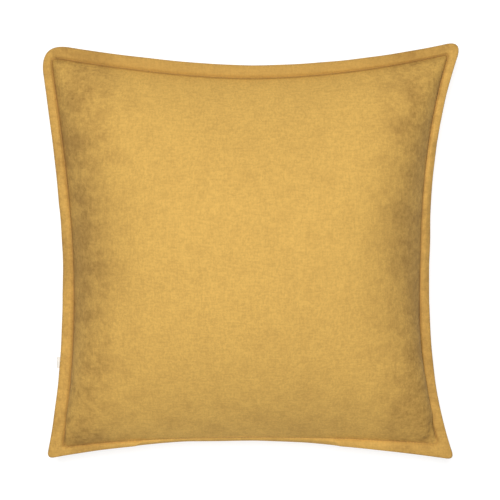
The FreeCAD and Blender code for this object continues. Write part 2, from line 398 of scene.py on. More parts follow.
def half_swell(s, t):
    """Rounded swell over a sheet, 1 in the middle and 0 on its edges."""
    inside = max(0.0, math.sin(math.pi * s)) * max(0.0, math.sin(math.pi * t))
    return inside ** 0.6


def front_sewn(s, t):
    """Place on the filled front: exact on the stitch line, rough inside it."""
    plan = patch(STITCH, s, t)
    return Vector((plan.x, plan.y, SEAM_Z + SEAM_STEP + FRONT_SWELL * half_swell(s, t)))


def zip_edge_offset(run, side):
    """Where the folded edge of the fabric is beside the zip: open along it, closed past its ends."""
    closed = float(smooth_step(abs(run), TAPE_RUN - 0.012, TAPE_RUN - 0.005))
    return side * (SLOT_HALF * (1 - closed) + 0.03 * MM * closed + FOLD)


def halve(low, high, short, rounds=40):
    """Place between two bounds up to which short(place) holds."""
    for _ in range(rounds):
        middle = (low + high) / 2
        low, high = (middle, high) if short(middle) else (low, middle)
    return (low + high) / 2


def find_on_side(side, y):
    """Loop place where the right (1) or left (3) side of the stitch line is at height y."""
    rising = side == 1
    return halve(side, side + 0.999, lambda t: (loop_point(STITCH, t).y > y) != rising)


ZIP_SEAM_RUN = 0.2040


def zip_seam_ends():
    """Loop places on the left and right where the zip's seam meets the border."""
    left = find_on_side(3, zip_place(0, -ZIP_SEAM_RUN, 0).y)
    right = find_on_side(1, zip_place(0, ZIP_SEAM_RUN, 0).y)
    return left, right


def between_zip_and_border(side):
    """Plan of the sheet on one side of the zip's seam: side 1 is the back panel, -1 the strip below it."""
    left_end, right_end = zip_seam_ends()
    far_left, far_right = (3, 2) if side > 0 else (4, 1)

    def at(s, t):
        run = (s - 0.5) * 2 * ZIP_SEAM_RUN
        near = zip_place(zip_edge_offset(run, side), run, 0).xy
        far = loop_point(STITCH, far_left + (far_right - far_left) * s if side > 0 else s)
        left = loop_point(STITCH, left_end + (far_left - left_end) * t)
        right = loop_point(STITCH, right_end + (far_right - right_end) * t)
        near_left = zip_place(zip_edge_offset(-ZIP_SEAM_RUN, side), -ZIP_SEAM_RUN, 0).xy
        near_right = zip_place(zip_edge_offset(ZIP_SEAM_RUN, side), ZIP_SEAM_RUN, 0).xy
        c00, c10 = loop_point(STITCH, left_end), loop_point(STITCH, right_end)
        near = near + (c00 - near_left) * (1 - s) + (c10 - near_right) * s
        c01, c11 = loop_point(STITCH, far_left), loop_point(STITCH, far_right)
        flat = (c00 * (1 - s) + c10 * s) * (1 - t) + (c01 * (1 - s) + c11 * s) * t
        return near * (1 - t) + far * t + left * (1 - s) + right * s - flat

    return at


def hem_place(plan, s, share, side):
    """Fabric turned under at the zip: share runs from the outer face (0) round the fold to its end (1)."""
    edge = plan(s, 0)
    run = (s - 0.5) * 2 * ZIP_SEAM_RUN
    outward = (zip_place(1, run, 0) - zip_place(0, run, 0)).xy * side
    turn = min(share / 0.67, 1.0) * math.pi
    back = max(0.0, share - 0.67) / 0.33 * 5.0 * MM
    move = -FOLD * math.sin(turn) + back
    lift = FOLD * (1 - math.cos(turn))
    return Vector((*(edge + outward * move), edge_level(s, 0) + lift))


def edge_level(s, t):
    """Height of a back sheet where it is held: the zip's land, rising to the seam at the border."""
    near_side = float(smooth_step(min(s, 1 - s), 0.0, 0.05))
    return (SEAM_Z - SEAM_STEP) * (1 - near_side) + BACK_FACE_Z * near_side


def split_hem(b, rows):
    """The hem's share (1 to 0) and the sheet's own t (0 to 1), for a grid place b that counts hem rows."""
    hem = HEM_ROWS / rows
    return max(0.0, 1 - b / hem), max(0.0, (b - hem) / (1 - hem))


# Short creases of the front near its lower right corner: middle, half length, half width and depth.
TUCKS = ((0.1895, -0.1990, 0.0065, 0.0014, 0.0018), (0.1925, -0.1820, 0.0040, 0.0045, 0.0020))


class PILLOW_OT_cover(bpy.types.Operator):
    """Front and back of the cover, blown up by the filling"""

    bl_idname = "pillow.cover"
    bl_label = "Cover"

    def execute(self, context):
        velvet = velvet_material("panel_velvet")
        front, cut = self.front(), sizes().front_cut
        dress(front, "cushion", "velvet", velvet, "front_panel")
        back, length = self.back(), self.back_length()
        dress(back, "cushion", "velvet", velvet, "back_panel")
        return {"FINISHED"}

    def back_length(self):
        return sizes().back_cut * 0.94

    def front(self):
        cells, cut = sizes().cells, sizes().front_cut
        piece = mapped_grid("cover_front", cells, cells,
                            lambda a, b: Vector(((a - 0.5) * cut, (b - 0.5) * cut, SEAM_Z)))
        s, t = attribute(piece.data, "along"), attribute(piece.data, "across")
        sewn = [front_sewn(*place) for place in zip(s, t)]
        blow_up(piece, sewn, np.minimum.reduce([s, 1 - s, t, 1 - t]) < 1e-4)
        refine(piece)
        s, t = attribute(piece.data, "along"), attribute(piece.data, "across")
        co = points_of(piece.data)
        push = seam_puckers(s, t, cut, 11, 0.6 * MM)
        for x, y, long, short, depth in TUCKS:
            push -= depth * np.exp(-((co[:, 0] - x) / long) ** 2 - ((co[:, 1] - y) / short) ** 2)
        co += normals_of(piece.data) * push[:, None]
        put_points(piece.data, co)
        return piece

    def back(self):
        cells, width, length = sizes().cells, sizes().back_cut, self.back_length()
        rows = cells + HEM_ROWS
        plan = between_zip_and_border(1)

        def flat(a, b):
            hem, t = split_hem(b, rows)
            return Vector(((a - 0.5) * width, (t - 0.5) * length - HEM_DEPTH * hem, SEAM_Z))

        def sewn(a, b):
            hem, t = split_hem(b, rows)
            if hem > 0:
                return hem_place(plan, a, hem, 1)
            place = plan(a, t)
            level = edge_level(a, t) + (SEAM_Z - SEAM_STEP - BACK_FACE_Z) * float(smooth_step(t, 0.02, 0.1))
            return Vector((*place, min(level, SEAM_Z - SEAM_STEP) - BACK_SWELL * half_swell(a, t)))

        piece = mapped_grid("cover_back", cells, rows, flat)
        piece.data.flip_normals()
        a, b = attribute(piece.data, "along"), attribute(piece.data, "across")
        land = (HEM_ROWS + 1.1) / rows
        held = (a < 1e-4) | (a > 1 - 1e-4) | (b > 1 - 1e-4) | (b < land)
        places = [sewn(*place) for place in zip(a, b)]
        for i in np.nonzero((b < land) & (b > HEM_ROWS / rows + 1e-4))[0]:
            edge = Vector((*plan(a[i], 0), 0))
            run = (a[i] - 0.5) * 2 * ZIP_SEAM_RUN
            step = (zip_place(1, run, 0) - zip_place(0, run, 0)) * 3.4 * MM
            places[i] = Vector((edge.x + step.x, edge.y + step.y, edge_level(a[i], 0)))
        blow_up(piece, places, held)
        refine(piece)
        a, b = attribute(piece.data, "along"), attribute(piece.data, "across")
        co = points_of(piece.data)
        t = np.clip((b - HEM_ROWS / rows) * rows / cells, 0, 1)
        away = smooth_step(t * length, 8 * MM, 25 * MM)
        co += normals_of(piece.data) * (seam_puckers(a, t, width, 21, 0.6 * MM) * away)[:, None]
        soft = 2.5 * MM
        co[:, 2] = soft * np.logaddexp(0, co[:, 2] / soft)
        put_points(piece.data, co)
        return piece


class PILLOW_OT_zip_strip(bpy.types.Operator):
    """Strip of the back between the zip and the bottom border, its edge turned under at the zip"""

    bl_idname = "pillow.zip_strip"
    bl_label = "Zip strip"

    def execute(self, context):
        rows = 10 + HEM_ROWS
        plan = between_zip_and_border(-1)

        def place(a, b):
            hem, t = split_hem(b, rows)
            if hem > 0:
                return hem_place(plan, a, hem, -1)
            level = edge_level(a, 0) * (1 - t) + (SEAM_Z - SEAM_STEP) * t
            belly = 1.4 * MM * half_swell(a, t)
            return Vector((*plan(a, t), level - belly))

        strip = mapped_grid("cover_zip_strip", 260, rows, place)
        refine(strip)
        dress(strip, "cushion", "velvet", velvet_material("panel_velvet"), "back_zip_strip")
        return {"FINISHED"}


def skin_tree(*names):
    """Lookup of the nearest place on finished pieces."""
    bm = bmesh.new()
    for name in names:
        bm.from_mesh(bpy.data.objects[name].data)
    tree = BVHTree.FromBMesh(bm)
    bm.free()
    return tree


# ---------------------------------------------------------------- border

def border_section(b, width, puff):
    """Offset from the stitch line and height of the border's section at b (0 to 1, front then back)."""
    turn = 2 * math.pi * b
    tuck = 1.6 * MM
    w = (width + tuck) * 0.5 * (1 - math.cos(turn)) - tuck
    inner = min(1.0, math.sqrt((w + tuck) / (0.35 * MM)))
    left = width - w
    outer = math.sqrt(max(0.0, 1 - (1 - min(left / (3.2 * MM), 1)) ** 2))
    swell = math.sin(0.5 * math.pi * float(np.clip((w - 0.7 * MM) / (3.4 * MM), 0, 1)))
    valley = 0.40 * MM
    crown = puff * (1 - 0.30 * float(smooth_step(w, 0.45 * width, width)))
    height = (valley + (crown - valley) * swell) * inner * outer
    return w, math.copysign(height, math.sin(turn)) if 0 < b < 1 else 0.0


class PILLOW_OT_border(bpy.types.Operator):
    """Flat border that is topstitched all round, puckered along its stitches"""

    bl_idname = "pillow.border"
    bl_label = "Border"

    def execute(self, context):
        border = mapped_grid("border", 1500, 26, self.place, closed_x=True, closed_y=True)
        dress(border, "cushion", "velvet", velvet_material("border_velvet"),
              "front_panel", "back_panel", "back_zip_strip")
        self.inside()
        return {"FINISHED"}

    def inside(self):
        """The turned-in layers, raw-edged, and the seam that joins front and back along the outer edge."""
        def place(a, b):
            start, out, face, width = border_frame(4 * a)
            turn = 2 * math.pi * b
            w = 0.5 * (1 - math.cos(turn)) * (width - 2.2 * MM) + 1.0 * MM
            gather, lift = border_waves(4 * a)[2:]
            w -= 0.25 * MM * gather * (1 + math.cos(turn)) * 0.5
            height = 0.5 * MM * math.sin(turn) + 0.9 * MM * lift * 0.5 * (1 - math.cos(turn))
            return start + out * w + face * height

        allowance = mapped_grid("seam_allowance", 700, 8, place, closed_x=True, closed_y=True)
        dress(allowance, "cushion", "velvet", velvet_material("border_velvet"), "flange_seam_allowance")
        t_table, run_table = loop_table(OUTER)

        def along_edge(run):
            t = float(np.interp(run, run_table, t_table))
            start, out, face, width = border_frame(t)
            return start + out * (width - 1.3 * MM) + face * 0.9 * MM * border_waves(t)[3], face

        seam = thread_run("edge_seam_stitches", along_edge, run_table[-1], 0.45 * MM, True)
        dress(seam, "cushion", "thread", thread_material(), "edge_seam_thread")

    def place(self, a, b):
        return border_point(4 * a, b)


_waves = {
    "edge": ripple(3, 10, 14, 46),
    "lift": ripple(5, 8, 10, 34),
    "gather": ripple(7, 16, 100, 190),
    "thick": ripple(9, 10, 24, 70),
}


@lru_cache(maxsize=20000)
def border_frame(t):
    """Stitch-line point, outward direction, face normal and true width of the border at t."""
    inner, outer = loop_point(STITCH, t), loop_point(OUTER, t)
    across = outer - inner
    shown = across.length
    along_side = t % 1
    away = float(smooth_step(min(along_side, 1 - along_side), 0.04, 0.14))
    width = shown + (max(shown, sizes().border) - shown) * away
    lean = math.acos(min(1.0, shown / width))
    plan = Vector((across.x, across.y, 0)).normalized()
    out = plan * math.cos(lean) - Vector((0, 0, 1)) * math.sin(lean)
    face = Vector((0, 0, 1)) * math.cos(lean) + plan * math.sin(lean)
    return Vector((inner.x, inner.y, SEAM_Z)), out, face, width


@lru_cache(maxsize=20000)
def border_waves(t):
    """Unevenness of the border at t: its edge, its thickness, its gathers and its lift."""
    return tuple(float(_waves[name](t)) for name in ("edge", "thick", "gather", "lift"))


def border_point(t, b):
    """Point on the border's skin."""
    start, out, face, width = border_frame(t)
    edge, thick, gather, lift = border_waves(t)
    share_of = 0.5 * (1 - math.cos(2 * math.pi * b))
    width = width + 0.35 * MM * edge
    puff = sizes().puff * (1 + 0.10 * thick)
    w, h = border_section(b, width, puff)
    gathers = 0.34 * MM * gather * math.exp(-((w - 3 * MM) / (3.2 * MM)) ** 2)
    h += math.copysign(gathers, h) if w > 0.7 * MM else 0
    return start + out * w + face * (h + 0.9 * MM * lift * share_of)


# ---------------------------------------------------------------- threads

def loop_table(loop):
    """Places t and distances run round an outline."""
    t = np.linspace(0, 4, 4001)
    pts = np.array([loop_point(loop, float(x)) for x in t])
    return t, np.concatenate([[0], np.cumsum(np.linalg.norm(np.diff(pts, axis=0), axis=1))])


def thread_run(name, along, length, thickness, closed):
    """A row of lock stitches: one thread that lies on the cloth for a stitch and dips in at each hole."""
    count = int(round(length / sizes().pitch))
    steps = 8

    def spine(a):
        run = a * length
        middle, up = along(run % length if closed else min(max(run, 0), length))
        stitch = (a * count) % 1.0
        dip = max(0.0, abs(2 * stitch - 1) - 0.72) / 0.28
        rise = 0.35 * thickness * (1 - (2 * stitch - 1) ** 2) - 1.3 * thickness * dip * dip
        return middle + up * rise, up

    @lru_cache(maxsize=4096)
    def section(a):
        here, up = spine(a)
        ahead = (spine(a + 1e-5)[0] - spine(a - 1e-5)[0]).normalized()
        side = ahead.cross(up).normalized()
        return here, side, side.cross(ahead)

    def place(a, b):
        here, side, over = section(a)
        shut = 1.0 if closed else math.sqrt(max(0.0, 1 - abs(2 * a - 1) ** 2000))
        turn = 2 * math.pi * b
        return here + (side * math.cos(turn) + over * math.sin(turn)) * thickness / 2 * shut

    return mapped_grid(name, count * steps, 6, place, closed_x=closed, closed_y=True)


def stitched_row(name, side):
    """Topstitching along the border's inner edge, on the front (side 1) or the back (side -1)."""
    t_table, run_table = loop_table(STITCH)

    def along(run):
        t = float(np.interp(run, run_table, t_table))
        start, out, face, _ = border_frame(t)
        return start + out * 0.55 * MM + face * side * 0.50 * MM, face * side

    return thread_run(name, along, run_table[-1], 0.55 * MM, True)


class PILLOW_OT_threads(bpy.types.Operator):
    """Topstitching on both faces, each stitch on its own"""

    bl_idname = "pillow.threads"
    bl_label = "Topstitching"

    def execute(self, context):
        thread = thread_material()
        dress(stitched_row("topstitch_front", 1), "cushion", "thread", thread, "topstitch_needle_thread")
        dress(stitched_row("topstitch_back", -1), "cushion", "thread", thread, "topstitch_bobbin_thread")
        return {"FINISHED"}


# ---------------------------------------------------------------- zip

class PILLOW_OT_zip(bpy.types.Operator):
    """Tapes, interlocked coils, stops and the rows of stitches that hold the zip in"""

    bl_idname = "pillow.zip"
    bl_label = "Zip"

    def execute(self, context):
        for side, word in ((1, "upper"), (-1, "lower")):
            self.tape(side, word)
            self.coil(side, word)
            self.stitching(side, word)
        self.stops()
        return {"FINISHED"}

    def tape(self, side, word):
        """Flat woven band with a rounded edge; its ends are pressed shut."""
        middle, half = (CHAIN_HALF_GAP + TAPE_REACH) / 2, (TAPE_REACH - CHAIN_HALF_GAP) / 2
        level, thick = (TAPE_LOW + TAPE_HIGH) / 2, (TAPE_HIGH - TAPE_LOW) / 2

        def place(a, b):
            run = (2 * a - 1) * TAPE_RUN
            shut = math.sqrt(1 - abs(2 * a - 1) ** 400)
            turn = 2 * math.pi * b
            c, d = math.cos(turn), math.sin(turn)
            across = squared(c, 0.35)
            up = squared(d, 0.5) * shut
            return zip_place(side * (middle + half * across), run, level + thick * up)

        piece = mapped_grid("woven_tape_" + word, 360, 20, place, closed_y=True)
        dress(piece, "cushion", "zip_tape", tape_material(), "zip_tape_" + word)

    def coil(self, side, word):
        """One row of coil: a flattened spiral whose heads reach between those of the other row."""
        pitch, strand = 1.4 * MM, 0.31 * MM
        turns = int(2 * COIL_RUN / pitch)
        level = (COIL_LOW + COIL_HIGH) / 2
        inner, outer = -0.18 * MM + strand, CHAIN_HALF_GAP + COIL_WIDTH - strand
        phase = 0 if side > 0 else math.pi

        def spine(q):
            turn = 2 * math.pi * turns * q + phase
            offset = (inner + outer) / 2 - (outer - inner) / 2 * math.cos(turn)
            height = level + (0.9 * MM - strand) * math.sin(turn)
            return zip_place(side * offset, (2 * q - 1) * COIL_RUN, height)

        def place(a, b):
            here = spine(a)
            ahead = (spine(a + 1e-5) - spine(a - 1e-5)).normalized()
            first = ahead.orthogonal() if abs(ahead.x) > 0.99 else ahead.cross((1, 0, 0))
            first.normalize()
            second = ahead.cross(first)
            shut = strand * math.sqrt(max(0.0, 1 - abs(2 * a - 1) ** 3000))
            turn = 2 * math.pi * b
            return here + (first * math.cos(turn) + second * math.sin(turn)) * shut

        piece = mapped_grid("coil_row_" + word, turns * 10, 6, place, closed_y=True)
        dress(piece, "cushion", "zip_coil", coil_material(), "zip_coil_" + word)

    def stitching(self, side, word):
        """Stitches through fabric and tape, laid on the fabric's skin."""
        skin = skin_tree("cover_back", "cover_zip_strip")

        def along(run):
            low = zip_place(side * ZIP_STITCH_OFFSET, run - TAPE_RUN, BACK_FACE_Z - 0.02)
            hit, normal, _, _ = skin.ray_cast(low, Vector((0, 0, 1)))
            if hit is None:
                return Vector((low.x, low.y, BACK_FACE_Z)), Vector((0, 0, -1))
            return hit, -normal if normal.z > 0 else normal

        row = thread_run("zip_stitches_" + word, along, 2 * TAPE_RUN, 0.5 * MM, False)
        dress(row, "cushion", "thread", thread_material(), "zip_stitching_" + word)

    def stops(self):
        """Small clamped stops: one on each row at the closed end, one across both at the other."""
        metal = metal_material()
        reach = CHAIN_HALF_GAP + COIL_WIDTH
        length = 3 * MM
        for name, run, bands in (("top", COIL_RUN + length / 2 + 0.1 * MM,
                                  ((CHAIN_HALF_GAP, reach), (-reach, -CHAIN_HALF_GAP))),
                                 ("bottom", -COIL_RUN - length / 2 - 0.1 * MM, ((-reach, reach),))):
            bm = bmesh.new()
            for low, high in bands:
                add_box(bm, (-length / 2, low, COIL_LOW), (length / 2, high, COIL_HIGH), 0.45 * MM, 3)
                for groove in (-0.5, 0.5):
                    add_box(bm, (groove * MM - 0.22 * MM, low + 0.25 * MM, COIL_LOW - 0.12 * MM),
                            (groove * MM + 0.22 * MM, high - 0.25 * MM, COIL_LOW + 0.4 * MM), 0.1 * MM, 2)
            bmesh.ops.transform(bm, matrix=zip_matrix(run), verts=bm.verts)
            node = "zip_top_stops" if name == "top" else "zip_bottom_stop"
            dress(finish_mesh("zip_stop_" + name, bm), "cushion", "zip_metal", metal, node)


def zip_matrix(run):
    """From the zip's middle, x along it and y towards the pillow's middle, to a place at run."""
    turn = Matrix.Rotation(-run / ZIP_RADIUS, 4, "Z")
    return Matrix.Translation((ZIP_CENTRE.x, ZIP_CENTRE.y, 0)) @ turn @ Matrix.Translation((0, ZIP_RADIUS, 0))


class PILLOW_OT_slider(bpy.types.Operator):
    """Metal slider with its bar and lugs, and the pull tab that hangs from the bar"""

    bl_idname = "pillow.slider"
    bl_label = "Slider and pull tab"

    def execute(self, context):
        self.slider()
        self.tab()
        return {"FINISHED"}

    def plate(self, bm, low, high):
        """Plate of the slider: square tail, narrower nose, rounded all round."""
        half_length, half_width, nose = 5.5 * MM, 4.25 * MM, 3.2 * MM
        size = (2 * half_length, 2 * half_width, high - low)
        matrix = Matrix.Translation((0, 0, (low + high) / 2)) @ Matrix.Diagonal((*size, 1))
        verts = bmesh.ops.create_cube(bm, size=1, matrix=matrix)["verts"]
        edges = list({e for v in verts for e in v.link_edges})
        geom = verts + edges + list({f for v in verts for f in v.link_faces})
        cut = bmesh.ops.bisect_plane(bm, geom=geom, plane_co=(1.1 * MM, 0, 0), plane_no=(1, 0, 0), dist=1e-7)
        verts += [v for v in cut["geom_cut"] if isinstance(v, bmesh.types.BMVert)]
        for v in verts:
            if v.co.x > half_length - 1e-6:
                v.co.y *= nose / half_width
        corners = [e for v in verts for e in v.link_edges if abs(e.verts[0].co.z - e.verts[1].co.z) > 1e-6]
        rounded = bevel(bm, set(corners), 1.1 * MM, 4)
        rims = {e for f in rounded["faces"] for v in f.verts for e in v.link_edges
                if abs(e.verts[0].co.z - e.verts[1].co.z) < 1e-7 and len(e.link_faces) == 2
                and abs(e.link_faces[0].normal.z - e.link_faces[1].normal.z) > 0.5}
        bevel(bm, rims, 0.3 * MM, 3)

    def slider(self):
        low, high = span("zip_slider", 2)
        lug_inner, lug_outer = 2.0 * MM, 3.0 * MM
        thick = 1.2 * MM
        outer_plate = TAB_BAR.z + 2.0 * MM
        bm = bmesh.new()
        self.plate(bm, outer_plate, outer_plate + thick)
        self.plate(bm, high - thick, high)
        add_box(bm, (-5.5 * MM, -0.25 * MM, outer_plate + thick), (-2.5 * MM, 0.25 * MM, high - thick))
        for side in (-1, 1):
            near, far = sorted((side * 3.05 * MM, side * 4.25 * MM))
            add_box(bm, (-5.0 * MM, near, outer_plate + 0.3 * MM),
                    (1.1 * MM, far, TAPE_LOW - 0.3 * MM), 0.25 * MM)
            near, far = sorted((side * lug_inner, side * lug_outer))
            add_box(bm, (-1.4 * MM, near, low + 0.3 * MM),
                    (1.4 * MM, far, outer_plate + 0.2 * MM), 0.45 * MM, 4)
        add_rod(bm, (0, 0, TAB_BAR.z), (0, 1, 0), 0.7 * MM, 2 * lug_outer + 0.5 * MM, 20)
        bmesh.ops.transform(bm, matrix=zip_matrix(SLIDER_ANGLE * ZIP_RADIUS), verts=bm.verts)
        dress(finish_mesh("zip_slider_body", bm), "slider", "zip_metal", metal_material(), "zip_slider")
        self.harden("zip_slider_body")

    def harden(self, name):
        """Shades flat faces flat and rounded edges smooth."""
        piece = bpy.data.objects[name]
        piece.data.set_sharp_from_angle(angle=math.radians(40))

    def tab(self):
        """Eye round the bar, a short neck and a blade with a rounded end and a hole."""
        bar = TAB_BAR.z
        low = span("zip_pull_tab", 2)[0]
        top = bar - 3.2 * MM
        middle, half = (low + top) / 2, (top - low) / 2
        hole = Vector((0, low + 4 * MM))
        thick = 0.6 * MM

        def rim(turn):
            """Distance from the hole's middle to the blade's edge."""
            def inside(reach):
                y, z = reach * math.cos(turn), hole.y + reach * math.sin(turn) - middle
                return abs(y / (3 * MM)) ** 2.6 + abs(z / half) ** 4.5 < 1

            return halve(0.0, 2 * half + 3 * MM, inside)

        def place(a, b):
            turn, section = 2 * math.pi * a, 2 * math.pi * b
            inner, outer = 1.4 * MM, rim(turn)
            c, d = math.cos(section), math.sin(section)
            across = 0.5 - 0.5 * squared(c, 0.6)
            reach = inner + (outer - inner) * across
            bulge = squared(d, 0.35)
            return Vector((thick * bulge, reach * math.cos(turn), hole.y + reach * math.sin(turn)))

        blade = mapped_grid("zip_pull_tab_body", 72, 28, place, closed_x=True, closed_y=True)
        bm = bmesh.new()
        bm.from_mesh(blade.data)
        add_box(bm, (-thick, -1.8 * MM, top - 1.2 * MM), (thick, 1.8 * MM, bar - 1.1 * MM), 0.25 * MM, 2)
        start = bmesh.ops.create_circle(bm, segments=10, radius=1)["verts"]
        for v in start:
            v.co = Vector((1.19 * MM + 0.41 * MM * v.co.x, 1.75 * MM * v.co.y, bar))
        bmesh.ops.spin(bm, geom=start + list({e for v in start for e in v.link_edges}), cent=(0, 0, bar),
                       axis=(0, 1, 0), angle=2 * math.pi, steps=28, use_merge=True)
        bmesh.ops.recalc_face_normals(bm, faces=bm.faces)
        bmesh.ops.transform(bm, matrix=zip_matrix(SLIDER_ANGLE * ZIP_RADIUS), verts=bm.verts)
        bm.to_mesh(blade.data)
        bm.free()
        for polygon in blade.data.polygons:
            polygon.use_smooth = True
        dress(blade, "pull_tab", "zip_metal", metal_material(), "zip_pull_tab")
        self.harden("zip_pull_tab_body")


# ---------------------------------------------------------------- label

class PILLOW_OT_label(bpy.types.Operator):
    """Blank satin label, caught under the left border so that its edge just shows"""

    bl_idname = "pillow.label"
    bl_label = "Care label"

    def execute(self, context):
        middle_y = sum(span("care_label", 1)) / 2
        half = 6 * MM
        edge, stitched = find_x(OUTER, middle_y), find_x(STITCH, middle_y)
        low, high = edge - 3.2 * MM, stitched - 0.3 * MM
        level = SEAM_Z - sizes().puff - 0.5 * MM

        def place(a, b):
            turn = 2 * math.pi * b
            c, d = math.cos(turn), math.sin(turn)
            x = low + (high - low) * a
            y = middle_y + half * squared(round(c, 5), 0.4)
            wave = 0.25 * MM * math.sin(9 * a + 3 * (y - middle_y) / half)
            rise = 1.2 * MM * float(smooth_step(a, 0.72, 1.0))
            shut = min(1.0, math.sqrt(max(0.0, 1 - abs(2 * a - 1) ** 60)))
            z = level + wave + rise + 0.14 * MM * squared(d, 0.5) * shut
            return Vector((x, y, z))

        piece = mapped_grid("label", 36, 28, place, closed_y=True)
        dress(piece, "cushion", "label_satin", label_material(), "care_label")
        return {"FINISHED"}


def find_x(loop, y):
    """Where the left side of an outline is at height y."""
    return loop_point(loop, halve(3.001, 3.999, lambda t: loop_point(loop, t).y > y)).x


# ---------------------------------------------------------------- insert

INSERT_GAP = 4.5 * MM
ZIP_CLEARANCE = 0.0265
INSERT_SWELL = 0.078


def insert_plan(gap):
    """Plan of the insert: inside the stitch line by a gap, and short of the zip at the bottom."""
    def at(s, t):
        inner = patch(STITCH, s, t)
        lift = (gap + ZIP_CLEARANCE) * (1 - t) - gap * t
        return Vector((inner.x + gap * (1 - 2 * s), inner.y + lift))

    return at


def insert_height(skin, point, side, gap, s, t, seam):
    """Height of the insert's skin: a gap inside the cover, closing to its own seam at its edges."""
    start = Vector((point.x, point.y, SEAM_Z))
    hit = skin.ray_cast(start + Vector((0, 0, side * 1.2 * MM)), Vector((0, 0, side)))[0]
    tall = abs(hit.z - SEAM_Z) if hit else 0
    reach = 0.4 * min(s, 1 - s, t, 1 - t)
    room = max(0.0, tall - gap - 0.5 * MM)
    steep = math.sqrt(max(0.0, 1 - (1 - min(reach / 0.045, 1)) ** 2))
    return SEAM_Z + side * (seam + min(room, INSERT_SWELL * steep))


class PILLOW_OT_insert(bpy.types.Operator):
    """Cotton casing in two halves, its seam, and the fibre filling"""

    bl_idname = "pillow.insert"
    bl_label = "Insert"

    def execute(self, context):
        cotton = cotton_material()
        plan = insert_plan(INSERT_GAP)
        for side, word, cover in ((1, "front", "cover_front"), (-1, "back", "cover_back")):
            skin = skin_tree(cover)

            def place(a, b, side=side, skin=skin):
                point = plan(a, b)
                return Vector((*point, insert_height(skin, point, side, 3 * MM, a, b, 0.1 * MM)))

            piece = mapped_grid("insert_" + word, 90, 90, place)
            if side < 0:
                piece.data.flip_normals()
            s, t = attribute(piece.data, "along"), attribute(piece.data, "across")
            co = points_of(piece.data)
            co -= normals_of(piece.data) * np.abs(seam_puckers(s, t, 0.4, 31 + side, 0.9 * MM))[:, None]
            put_points(piece.data, co)
            dress(piece, "cushion", "insert_cotton", cotton, "insert_casing_" + word)
        self.seam(plan)
        self.filling()
        return {"FINISHED"}

    def seam(self, plan):
        length = 1.58

        def along(run):
            here = edge_of(plan, 4 * run / length)
            return Vector((*here, SEAM_Z)), Vector((0, 0, 1))

        row = thread_run("insert_seam_stitches", along, length, 0.5 * MM, True)
        dress(row, "cushion", "insert_thread", thread_material("casing_thread", (0.75, 0.73, 0.68)),
              "insert_seam_thread")

    def filling(self):
        """Closed lump of fibre whose surface is uneven."""
        plan = insert_plan(INSERT_GAP + 3 * MM)
        skins = {1: skin_tree("cover_front"), -1: skin_tree("cover_back")}

        def place(a, b):
            side, t = (1, 2 * b) if b <= 0.5 else (-1, 2 - 2 * b)
            point = plan(a, t)
            height = insert_height(skins[side], point, side, 6.5 * MM, a, t, 0.0)
            lumps = 1.4 * MM * math.sin(90 * point.x + 40 * point.y) * math.sin(110 * point.y - 60 * point.x)
            inside = float(smooth_step(min(a, 1 - a, t, 1 - t), 0.02, 0.15))
            return Vector((*point, height - side * abs(lumps) * inside))

        piece = mapped_grid("fibre_filling", 80, 160, place, closed_x=True, closed_y=True)
        dress(piece, "cushion", "fibre", fibre_material(), "fibre_fill")


def edge_of(plan, q):
    """Place round the edge of a plan, one unit a side from the bottom left."""
    q = q % 4
    side, share = int(q), q - int(q)
    s, t = ((share, 0), (1, share), (1 - share, 1), (0, 1 - share))[side]
    return plan(s, t)


# ---------------------------------------------------------------- materials

def group_with(name, inputs, outputs):
    """Empty node group with named float and colour sockets."""
    tree = bpy.data.node_groups.new(name, "ShaderNodeTree")
    kinds = {"f": "NodeSocketFloat", "c": "NodeSocketColor", "v": "NodeSocketVector"}
    for label, kind, value in inputs:
        socket = tree.interface.new_socket(name=label, in_out="INPUT", socket_type=kinds[kind])
        socket.default_value = value
    for label, kind in outputs:
        tree.interface.new_socket(name=label, in_out="OUTPUT", socket_type=kinds[kind])
    return tree, tree.nodes.new("NodeGroupInput"), tree.nodes.new("NodeGroupOutput")


def maths(tree, operation, a, b=None, clamp=False):
    """Math node on values or sockets; returns its output."""
    node = tree.nodes.new("ShaderNodeMath")
    node.operation = operation
    node.use_clamp = clamp
    for i, value in enumerate((a, b)):
        if value is None:
            continue
        if isinstance(value, bpy.types.NodeSocket):
            tree.links.new(value, node.inputs[i])
        else:
            node.inputs[i].default_value = value
    return node.outputs[0]


def times(tree, a, b, clamp=False):
    return maths(tree, "MULTIPLY", a, b, clamp)


def plus(tree, a, b, clamp=False):
    return maths(tree, "ADD", a, b, clamp)


def less(tree, a, b):
    return maths(tree, "SUBTRACT", a, b)


def remap(tree, value, low, high, to_low=0.0, to_high=1.0):
    node = tree.nodes.new("ShaderNodeMapRange")
    node.interpolation_type = "SMOOTHSTEP"
    tree.links.new(value, node.inputs["Value"])
    node.inputs["From Min"].default_value = low
    node.inputs["From Max"].default_value = high
    node.inputs["To Min"].default_value = to_low
    node.inputs["To Max"].default_value = to_high
    return node.outputs["Result"]


def noise_of(tree, vector, scale, detail=3.0, roughness=0.55, stretch=(1, 1, 1)):
    """Noise on object coordinates, stretched per axis."""
    mapping = tree.nodes.new("ShaderNodeMapping")
    mapping.inputs["Scale"].default_value = stretch
    tree.links.new(vector, mapping.inputs["Vector"])
    node = tree.nodes.new("ShaderNodeTexNoise")
    node.inputs["Scale"].default_value = scale
    node.inputs["Detail"].default_value = detail
    node.inputs["Roughness"].default_value = roughness
    tree.links.new(mapping.outputs["Vector"], node.inputs["Vector"])
    return node.outputs["Fac"]


